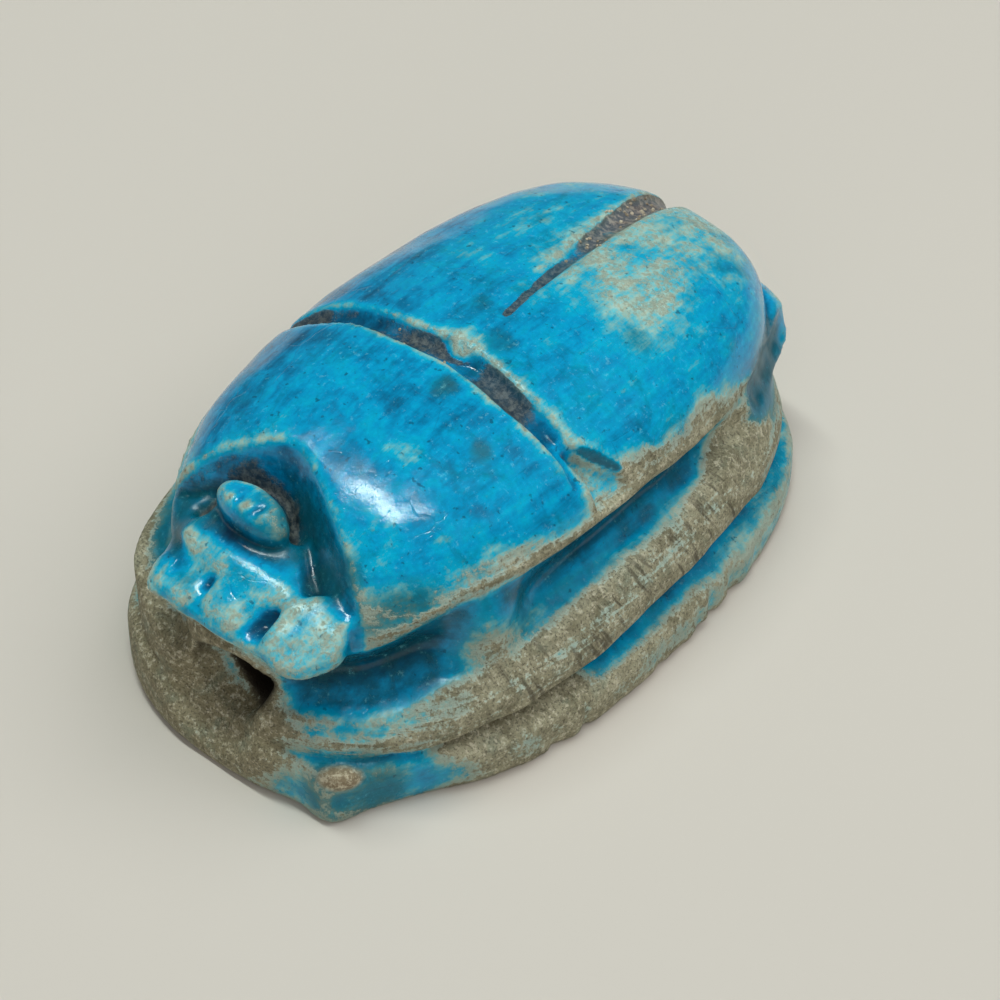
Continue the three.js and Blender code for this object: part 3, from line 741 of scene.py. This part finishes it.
# The four dabs in the head's notch darken it with green, partly as painted shade.
for x, y, z, size, much in (
    (0.95, -2.2, 8.3, 1.0, 0.8),
    (3.1, -3.2, 7.9, 0.8, 0.8),
    (3.5, 3.1, 7.8, 1.1, 0.7),
    (1.0, 0.0, 8.4, 1.2, 0.7),
    (-0.4, 1.0, 8.4, 0.9, 0.6),
    (4.0, -7.4, 5.6, 3.0, 0.9),
    (-2.9, -8.2, 5.4, 3.0, 0.9),
    (-4.8, -8.4, 3.4, 4.4, 1.0),
    (0.2, -7.2, 6.3, 3.4, 0.9),
    (1.9, -8.0, 6.2, 2.6, 0.9),
    (4.3, -9.8, 1.0, 3.0, 1.3),
    (6.9, 0.2, 0.8, 4.0, 0.6),
    (4.9, 7.6, 4.2, 4.4, 1.4),
):
    green = np.maximum(green, much * dab(x, y, z, (size, size, 1.4 + 0.2 * size), edge=0.8))
# Painted shade: the upper wall of the nick is made dark green. The plate is kept less green.
green = np.maximum(green * (1 - 0.65 * on_plate), np.maximum(1.1 * nick_wall, 0.35 * nick_face))
green = np.maximum(green, 0.5 * smoothstep(0.2, -0.2, pz - lip_z) + 0.1 * in_channel)
in_wing = 1 - smoothstep(-0.02, 0.07, sample(wing, co))
in_thorax = (1 - smoothstep(-0.04, 0.07, sample(thorax, co))) * (1 - 0.7 * smoothstep(2.2, 4.0, px))
in_thorax *= 1 - dab(0.35, -0.62, 8.45, (1.3, 1.0, 1.0), edge=0.3)
ditch = np.zeros(len(co))
for (path, spread, depth), much in zip(DITCHES, (0.85, 0.6, 0.15, 0.15)):
    ditch = np.maximum(ditch, much * bell(path_gap(px, py, path), spread) * in_notch)
dirt = np.maximum(np.maximum(0.9 * in_thorax, 0.85 * in_wing), 0.8 * ditch * between(5.2, 7.4, pz))
sandy = in_wing * smoothstep(3.5, 6.5, py)
sandy = np.maximum(sandy, dab(*HARD_GRAIN, (1.2, 0.75, 0.6), 42, 0.2))
hatch = on_leg * between(-6.5, 4.5, py, 1.0) * left
round_way = angle / 180 * math.pi * 9.0 * 0.001
crumbs = np.maximum(in_wing * between(4.4, 9.0, py, 0.8), 0.3 * in_thorax * between(-3.6, 1.2, px, 0.5))

marks = {"thickness_and_painted_light": thickness_and_painted_light, "hollow": hollow, "green": green, "dirt": dirt, "sandy": sandy, "hatch": hatch}
marks.update({"front": np.maximum(front, bore), "round_way": round_way, "rubbed": np.maximum(on_lip, on_leg)})
# The bore and the upper part of the dish under the plate are marked for painted shade.
inside = np.maximum(bore * smoothstep(0.5, 1.2, 11 - np.abs(py)), 0.75 * cave * smoothstep(1.9, 2.9, pz))
marks.update({"inside": inside, "crumbs": crumbs})
for name, values in marks.items():
    layer = mesh.attributes.new(name, "FLOAT", "POINT")
    layer.data.foreach_set("value", values.astype(np.float32))
print("stored", ", ".join(marks))

# %% [markdown]
# ## Writing shaders as sums
# A shader is a tree of nodes, and long trees are easier to read as arithmetic. This small class
# wraps one output, so that `a * 0.5 + b` makes the two Math nodes that say so.

# %% Node arithmetic
class Wire:
    def __init__(self, tree, socket):
        self.tree, self.socket = tree, socket

    def sum(self, kind, *others):
        values = {i: v for i, v in enumerate((self, *others))}
        return node(self.tree, "ShaderNodeMath", {"operation": kind}, values)

    def __add__(self, other):
        return self.sum("ADD", other)

    def __sub__(self, other):
        return self.sum("SUBTRACT", other)

    def __rsub__(self, other):
        return node(self.tree, "ShaderNodeMath", {"operation": "SUBTRACT"}, {0: other, 1: self})

    def __mul__(self, other):
        return self.sum("MULTIPLY", other)

    __radd__ = __add__
    __rmul__ = __mul__

    def rise(self, low, high):
        """0 below low, 1 above high, and a smooth climb between."""
        settings = {"interpolation_type": "SMOOTHSTEP"}
        values = {"Value": self, "From Min": low, "From Max": high}
        return node(self.tree, "ShaderNodeMapRange", settings, values)


def node(tree, kind, settings=None, values=None, out=0):
    made = tree.nodes.new(kind)
    for name, value in (settings or {}).items():
        setattr(made, name, value)
    for name, value in (values or {}).items():
        socket = made.inputs[name]
        if isinstance(value, Wire):
            tree.links.new(value.socket, socket)
        else:
            socket.default_value = value
    return Wire(tree, made.outputs[out])


def srgb(r, g, b):
    """A colour as seen on screen, from 0 to 255, turned into the numbers that light obeys."""
    lin = [v / 255 / 12.92 if v <= 10 else ((v / 255 + 0.055) / 1.055) ** 2.4 for v in (r, g, b)]
    return (*lin, 1)


paint = bpy.data.materials.new("glazed_stone")
paint.use_nodes = True
tree = paint.node_tree
tree.nodes.clear()
here = node(tree, "ShaderNodeTexCoord", out="Object")


def mark(name):
    return node(tree, "ShaderNodeAttribute", {"attribute_name": name}, out="Fac")


def stretched(x, y, z):
    values = {"Vector": here, "Scale": (x, y, z)}
    return node(tree, "ShaderNodeMapping", {"vector_type": "POINT"}, values)


def noise(size, detail=4.0, rough=0.55, vector=None, warp=0.0):
    """Soft noise whose lumps are about size millimetres across, from 0 to 1."""
    values = {"Vector": vector or here, "Scale": 1000 / size, "Detail": detail}
    values.update({"Roughness": rough, "Distortion": warp})
    return node(tree, "ShaderNodeTexNoise", None, values)


def blend(share, a, b, how="MIX"):
    settings = {"data_type": "RGBA", "blend_type": how, "clamp_factor": True}
    return node(tree, "ShaderNodeMix", settings, {0: share, 6: a, 7: b}, out=2)


# %% [markdown]
# ## Glaze
# The colour follows the thickness along a ramp: bare stone, milky green, turquoise, blue, ink.
# Noise of several sizes is added to the thickness first, because a real coat is never even, and
# that is what breaks every edge between glaze and stone into flecks.

# %% An uneven coat
clouds = noise(2.6, 4, 0.6, warp=0.5)
patches = noise(0.75, 5, 0.65, warp=0.3)
streaks = noise(0.3, 4, 0.65, vector=stretched(1, 0.14, 1))
specks = noise(0.17, 5, 0.75)
grain = noise(0.07, 3, 0.7)
height = node(tree, "ShaderNodeSeparateXYZ", None, {0: here}, out="Z")
round_and_up = {0: mark("round_way") * 0.09, 1: height, 2: height * 0.3}
lines = noise(0.13, 3, 0.6, vector=node(tree, "ShaderNodeCombineXYZ", None, round_and_up))
thickness_and_painted_light = mark("thickness_and_painted_light")
thin = 1 - thickness_and_painted_light.rise(0.25, 0.62)
flecks = 0.3 * (patches - 0.5) + (0.3 + 0.5 * thin) * (specks - 0.5) + 0.6 * mark("rubbed") * (lines - 0.5)
coat_and_painted_light = thickness_and_painted_light + 0.5 * (clouds - 0.5) + 0.5 * (patches - 0.5) + 0.7 * (streaks - 0.5) + flecks
dots = noise(0.2, 2, 0.5)

# %% [markdown]
# The ramp's colours run from the thinnest coat to the deepest pool, and its dark end also gives the
# painted shade. Over it lie clouds of teal, the green of old copper, partly painted shade, dark dots
# and a few pale flecks.

# %% The ramp from stone to ink
def ramp(wire, stops):
    made = tree.nodes.new("ShaderNodeValToRGB")
    band = made.color_ramp
    while len(band.elements) < len(stops):
        band.elements.new(0.5)
    for element, (position, stop_color) in zip(band.elements, stops):
        element.position, element.color = position, stop_color
    tree.links.new(wire.socket, made.inputs[0])
    return Wire(tree, made.outputs[0])


glaze_stops = [
    (0.08, srgb(178, 190, 168)),
    (0.17, srgb(156, 196, 186)),
    (0.26, srgb(96, 182, 194)),
    (0.35, srgb(0, 166, 202)),
    (0.47, srgb(0, 154, 202)),
    (0.57, srgb(0, 128, 174)),
    (0.68, srgb(0, 98, 136)),
    (0.82, srgb(0, 68, 100)),
    (1.00, srgb(4, 42, 66)),
]
glaze = ramp(coat_and_painted_light * 0.66, glaze_stops)
copper_green_and_shade = (mark("green") + 0.7 * (patches - 0.5) + 0.3 * (specks - 0.5)).rise(0.3, 0.9)
glaze = blend(noise(1.5, 5, 0.7, warp=0.8).rise(0.5, 0.72) * 0.55, glaze, srgb(0, 112, 134))
# This dark green is old copper, and on the nick's upper wall and in the head's notch it is also painted
# shade.
glaze = blend(copper_green_and_shade * 0.7, glaze, srgb(4, 86, 92))
glaze = blend((dots.rise(0.66, 0.74)) * 0.6, glaze, srgb(8, 66, 88))
glaze = blend(specks.rise(0.56, 0.7) * patches.rise(0.4, 0.6) * 0.35, glaze, srgb(120, 200, 208))

# %% [markdown]
# Very fine cracks run through the coat, because glaze shrinks more than stone as it cools. They
# are bent by noise and fade in and out, and they only darken the colour a little.

# %% Crazing
bend = node(tree, "ShaderNodeTexNoise", None, {"Vector": here, "Scale": 900, "Detail": 2.0}, out="Color")
bent = {0: bend, 1: (0.0007,) * 3, 2: here}
shifted = node(tree, "ShaderNodeVectorMath", {"operation": "MULTIPLY_ADD"}, bent)
cells = node(tree, "ShaderNodeTexVoronoi", {"feature": "DISTANCE_TO_EDGE"}, {"Vector": shifted, "Scale": 700})
cracks = (1 - cells.rise(0.0, 0.02)) * clouds.rise(0.45, 0.65)
scratch = noise(0.12, 2, 0.5, vector=stretched(1, 0.05, 1)).rise(0.66, 0.74)
glaze = blend(cracks * 0.22, glaze, srgb(4, 70, 100))
glaze = blend(scratch * patches.rise(0.5, 0.6) * 0.35, glaze, srgb(6, 84, 112))

# %% [markdown]
# ## Bare stone
# Under the glaze is a grey-brown stone, stained olive by old wear, with paler and darker grains.
# In its hollows it is darkened as painted shade. It is darker and greasy at the front, where thread
# and skin oil soaked in. The bore and the top of the dish under the plate are painted nearly black,
# as painted shade. Where the coat thins out against the stone it leaves a pale, milky halo.

# %% The stone's colour
stains = noise(1.1, 5, 0.65, warp=0.6)
stone_paint = blend(stains.rise(0.35, 0.65), srgb(134, 130, 104), srgb(178, 174, 146))
# Painted shade: bare stone in hollows is darkened.
stone_paint = blend(mark("hollow").rise(0.15, 0.8) * 0.6, stone_paint, srgb(92, 86, 64))
stone_paint = blend(mark("front") * 0.7, stone_paint, srgb(138, 128, 98))
stone_paint = blend(patches.rise(0.5, 0.7) * 0.45, stone_paint, srgb(126, 142, 124))
stone_paint = blend(specks.rise(0.5, 0.64) * 0.6, stone_paint, srgb(214, 208, 184))
stone_paint = blend(grain.rise(0.5, 0.64) * 0.7, stone_paint, srgb(76, 70, 56))
# Painted shade: the bore and the top of the dish are nearly black.
stone_paint = blend(mark("inside"), stone_paint, srgb(34, 27, 18))
is_bare = 1 - (thickness_and_painted_light + 1.6 * flecks).rise(-0.05, 0.36)
color = blend(is_bare, glaze, stone_paint)
halo = is_bare.rise(0.08, 0.36) * (1 - is_bare.rise(0.58, 0.99))
color = blend(halo * 0.66, color, srgb(184, 204, 190))

# %% [markdown]
# The soil in the grooves is nearly black, with grey grains. Towards the tail and on the hard grain
# it is sandy, and the scattered crumbs take their own tints.

# %% Dirt
soil = blend(specks.rise(0.42, 0.6), srgb(44, 52, 56), srgb(92, 94, 88))
sand = blend(specks.rise(0.45, 0.6), srgb(104, 84, 68), srgb(164, 142, 118))
soil = blend(mark("sandy") * 0.85, soil, sand)
dirty = (mark("dirt") + 0.35 * (patches - 0.5) + 0.4 * (specks - 0.5)).rise(0.38, 0.62)
color = blend(dirty * 0.85, color, soil)
grit = blend(specks.rise(0.45, 0.6), srgb(148, 132, 104), srgb(204, 192, 164))
color = blend(mark("sandy") * (1 - mark("dirt").rise(0.1, 0.4)), color, grit)
grains = mark("crumb")
color = blend(grains.rise(0.05, 0.1), color, blend(grains, srgb(116, 96, 74), srgb(214, 204, 180)))

# %% [markdown]
# ## Shine and relief
# The glaze is glassy but scuffed and duller where it turned green, and the stone is dull. A bump
# gives each its own grain: a slightly wavy skin on the glaze, coarse grain in the stone, and file
# strokes across the legs.

# %% Shine and relief
shine = 0.08 + 0.16 * patches.rise(0.45, 0.75) + 0.16 * (1 - coat_and_painted_light.rise(0.3, 0.6))
rough = shine + (0.72 - shine) * is_bare
rough = rough + (0.5 - rough) * (dirty * 0.7) + 0.2 * copper_green_and_shade * (1 - is_bare)
across_leg = {0: mark("round_way") + height * 0.35, 1: height * 0.13, 2: 0.0}
stroke = noise(0.2, 2, 0.5, vector=node(tree, "ShaderNodeCombineXYZ", None, across_leg))
color = blend(stroke.rise(0.54, 0.66) * mark("hatch") * is_bare * 0.7, color, srgb(74, 68, 54))
color = blend(0.55, color, specks, "OVERLAY")
color = blend(0.25, color, lines, "OVERLAY")
relief = (0.4 * specks + 0.25 * grain) * is_bare + 0.07 * patches + 0.03 * specks
relief = relief - 0.05 * cracks * (1 - is_bare) + 0.35 * dirty * specks - 0.03 * scratch
relief = relief - 0.75 * stroke * mark("hatch") * is_bare - 0.1 * lines * mark("rubbed")
bump = node(tree, "ShaderNodeBump", None, {"Height": relief, "Distance": 0.00014, "Strength": 0.8})
shader = tree.nodes.new("ShaderNodeBsdfPrincipled")
shader.inputs["IOR"].default_value = 1.52
shader.inputs["Specular IOR Level"].default_value = 0.35
for name, wire in (("Base Color", color), ("Roughness", rough), ("Normal", bump)):
    tree.links.new(wire.socket, shader.inputs[name])
result = tree.nodes.new("ShaderNodeOutputMaterial")
tree.links.new(shader.outputs[0], result.inputs[0])
print("paint has", len(tree.nodes), "nodes")

# %% [markdown]
# ## Packed crumbs
# Sand and crumbs of soil are still packed in the groove between the wing cases. They are the one
# thing here that repeats, so Geometry Nodes scatter them: points on the faces, more of them where
# the mark called crumbs is high, and a tiny many-sided ball on each, sunk to its middle.

# %% A tree that scatters crumbs
crumb_tree = bpy.data.node_groups.new("packed_crumbs", "GeometryNodeTree")
sockets = {}
for label, kind, way in (
    ("Mesh", "NodeSocketGeometry", "INPUT"),
    ("Crumbs per square metre", "NodeSocketFloat", "INPUT"),
    ("Crumb size", "NodeSocketFloat", "INPUT"),
    ("Seed", "NodeSocketInt", "INPUT"),
    ("Paint", "NodeSocketMaterial", "INPUT"),
    ("Mesh", "NodeSocketGeometry", "OUTPUT"),
):
    sockets[label, way] = crumb_tree.interface.new_socket(label, in_out=way, socket_type=kind).identifier
asked = crumb_tree.nodes.new("NodeGroupInput")


def given(label):
    return Wire(crumb_tree, asked.outputs[label])


def crumb_node(kind, settings=None, values=None, out=0):
    return node(crumb_tree, kind, settings, values, out)


amount = crumb_node("GeometryNodeInputNamedAttribute", {"data_type": "FLOAT"}, {"Name": "crumbs"})
spread = {"Mesh": given("Mesh"), "Density": amount * given("Crumbs per square metre"), "Seed": given("Seed")}
dots_on_face = crumb_node("GeometryNodeDistributePointsOnFaces", None, spread)
crumb_ball = crumb_node("GeometryNodeMeshIcoSphere", None, {"Radius": given("Crumb size"), "Subdivisions": 1})
sizes = {"Min": (0.6, 0.6, 0.5), "Max": (1.2, 1.2, 1.0), "Seed": 5}
swell = crumb_node("FunctionNodeRandomValue", {"data_type": "FLOAT_VECTOR"}, sizes)
spin = {"Max": (6.28, 6.28, 6.28), "Seed": 6}
spun = crumb_node("FunctionNodeRandomValue", {"data_type": "FLOAT_VECTOR"}, spin)
put = {"Points": dots_on_face, "Instance": crumb_ball, "Scale": swell, "Rotation": spun}
placed = crumb_node("GeometryNodeInstanceOnPoints", None, put)
tint = crumb_node("FunctionNodeRandomValue", {"data_type": "FLOAT"}, {2: 0.15, 3: 1.0, "Seed": 7}, out=1)
stored = {"Geometry": placed, "Name": "crumb", "Value": tint}
tinted = crumb_node("GeometryNodeStoreNamedAttribute", {"data_type": "FLOAT", "domain": "INSTANCE"}, stored)
solid_crumbs = crumb_node("GeometryNodeRealizeInstances", None, {0: tinted})
both = crumb_tree.nodes.new("GeometryNodeJoinGeometry")
for wire in (solid_crumbs, given("Mesh")):
    crumb_tree.links.new(wire.socket, both.inputs[0])
painted = {"Geometry": Wire(crumb_tree, both.outputs[0]), "Material": given("Paint")}
dressed = crumb_node("GeometryNodeSetMaterial", None, painted)
crumb_tree.links.new(dressed.socket, crumb_tree.nodes.new("NodeGroupOutput").inputs[0])

# %% [markdown]
# The modifier's inputs are set by their identifiers. Its result is copied to a plain mesh and the
# modifier is taken off, so that the piece has no live tree.

# %% Scatter them and keep a plain mesh
CRUMBS_PER_SQUARE_METRE = 7.0e6
CRUMB_SIZE = 0.00007
scatter = carved.modifiers.new("packed_crumbs", "NODES")
scatter.node_group = crumb_tree
scatter[sockets["Crumbs per square metre", "INPUT"]] = CRUMBS_PER_SQUARE_METRE
scatter[sockets["Crumb size", "INPUT"]] = CRUMB_SIZE
scatter[sockets["Seed", "INPUT"]] = 4
scatter[sockets["Paint", "INPUT"]] = paint
seen = bpy.context.evaluated_depsgraph_get()
scarab_mesh = bpy.data.meshes.new_from_object(carved.evaluated_get(seen), depsgraph=seen)
carved.modifiers.remove(scatter)
carved.data = scarab_mesh
print("crumbs", (len(scarab_mesh.vertices) - len(co)) // 12)
print("triangles", sum(len(p.vertices) - 2 for p in scarab_mesh.polygons))

# %% [markdown]
# The piece is named and attached to the root body, and the imported solid that it stands for is hidden.

# %% Name it, attach it and hide the imported solid
scarab = carved
scarab.name = "scarab_amulet"
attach(scarab, "root")
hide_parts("scarab")

# %% [markdown]
# ## Ground, light and camera
# The amulet lies on a plain pale card under soft light, with the camera close and high.

# %% Ground
CARD_HALF = 1.2
ground_mesh = bpy.data.meshes.new("card")
corners = [(CARD_HALF * x, CARD_HALF * y, 0) for x, y in ((-1, -1), (1, -1), (1, 1), (-1, 1))]
ground_mesh.from_pydata(corners, [], [(0, 1, 2, 3)])
ground = bpy.data.objects.new("card", ground_mesh)
bpy.context.scene.collection.objects.link(ground)
card = bpy.data.materials.new("card")
card.use_nodes = True
card_shader = card.node_tree.nodes["Principled BSDF"]
card_shader.inputs["Base Color"].default_value = srgb(212, 205, 195)
card_shader.inputs["Roughness"].default_value = 0.85
ground_mesh.materials.append(card)

# %% [markdown]
# A glassy glaze shows mostly what it mirrors. A narrow strip overhead draws the sharp highlight.
# Two broad lamps fill the shade, and the glaze doesn't mirror them, because that would lay a white
# veil over the blue. The Standard view keeps the strong turquoise that the default one would grey.

# %% Light
def lamp(name, place, size, power, mirrored=True, tint=(1, 1, 1)):
    """A flat lamp that faces the origin, its longer side along X."""
    light = bpy.data.lights.new(name, "AREA")
    light.shape = "RECTANGLE"
    light.size, light.size_y, light.energy, light.color = size[0], size[1], power, tint
    holder = bpy.data.objects.new(name, light)
    back_of_lamp = Vector(place).normalized()
    side_of_lamp = (Vector((1, 0, 0)) - back_of_lamp * back_of_lamp.x).normalized()
    facing = Matrix((side_of_lamp, back_of_lamp.cross(side_of_lamp), back_of_lamp)).transposed()
    holder.matrix_world = Matrix.Translation(place) @ facing.to_4x4()
    holder.visible_glossy = mirrored
    bpy.context.scene.collection.objects.link(holder)
    return holder


lamp("overhead_strip", (-0.05, 0.0, 0.245), (0.15, 0.014), 0.29, tint=(0.9, 1.0, 0.97))
lamp("soft_sky", (0.10, 0.10, 0.26), (0.3, 0.3), 0.46, mirrored=False)
lamp("soft_front", (0.16, -0.2, 0.16), (0.25, 0.25), 0.22, mirrored=False)
world = bpy.data.worlds.new("room")
world.use_nodes = True
world.node_tree.nodes["Background"].inputs[0].default_value = srgb(236, 238, 240)
world.node_tree.nodes["Background"].inputs[1].default_value = 0.12
bpy.context.scene.world = world
bpy.context.scene.view_settings.view_transform = "Standard"

# %% [markdown]
# The camera looks down on the head and the left side. It stands close, with a long lens that is
# shifted a little, which is what the outline of the real picture asks for.

# %% Camera
DISTANCE = 0.085
LENS_IN_WIDTHS = 2.992
AZ, EL, ROLL = math.radians(40.5), math.radians(43.0), math.radians(-0.5)
away = Vector((math.sin(AZ) * math.cos(EL), -math.cos(AZ) * math.cos(EL), math.sin(EL)))
target = Vector((0, 0, 0.004))
right = (-away).cross(Vector((0, 0, 1))).normalized()
top = right.cross(-away)
camera_data = bpy.data.cameras.new("camera")
camera = bpy.data.objects.new("camera", camera_data)
across = math.cos(ROLL) * right + math.sin(ROLL) * top
upward = -math.sin(ROLL) * right + math.cos(ROLL) * top
turn = Matrix((across, upward, away)).transposed()
camera.matrix_world = Matrix.Translation(target + away * DISTANCE) @ turn.to_4x4()
camera_data.sensor_width = 36
camera_data.lens = LENS_IN_WIDTHS * camera_data.sensor_width
camera_data.shift_x, camera_data.shift_y = 0.030, -0.056
camera_data.clip_start = 0.001
bpy.context.scene.collection.objects.link(camera)
bpy.context.scene.camera = camera
print("camera at", [round(v * 1000, 1) for v in camera.location], "mm")
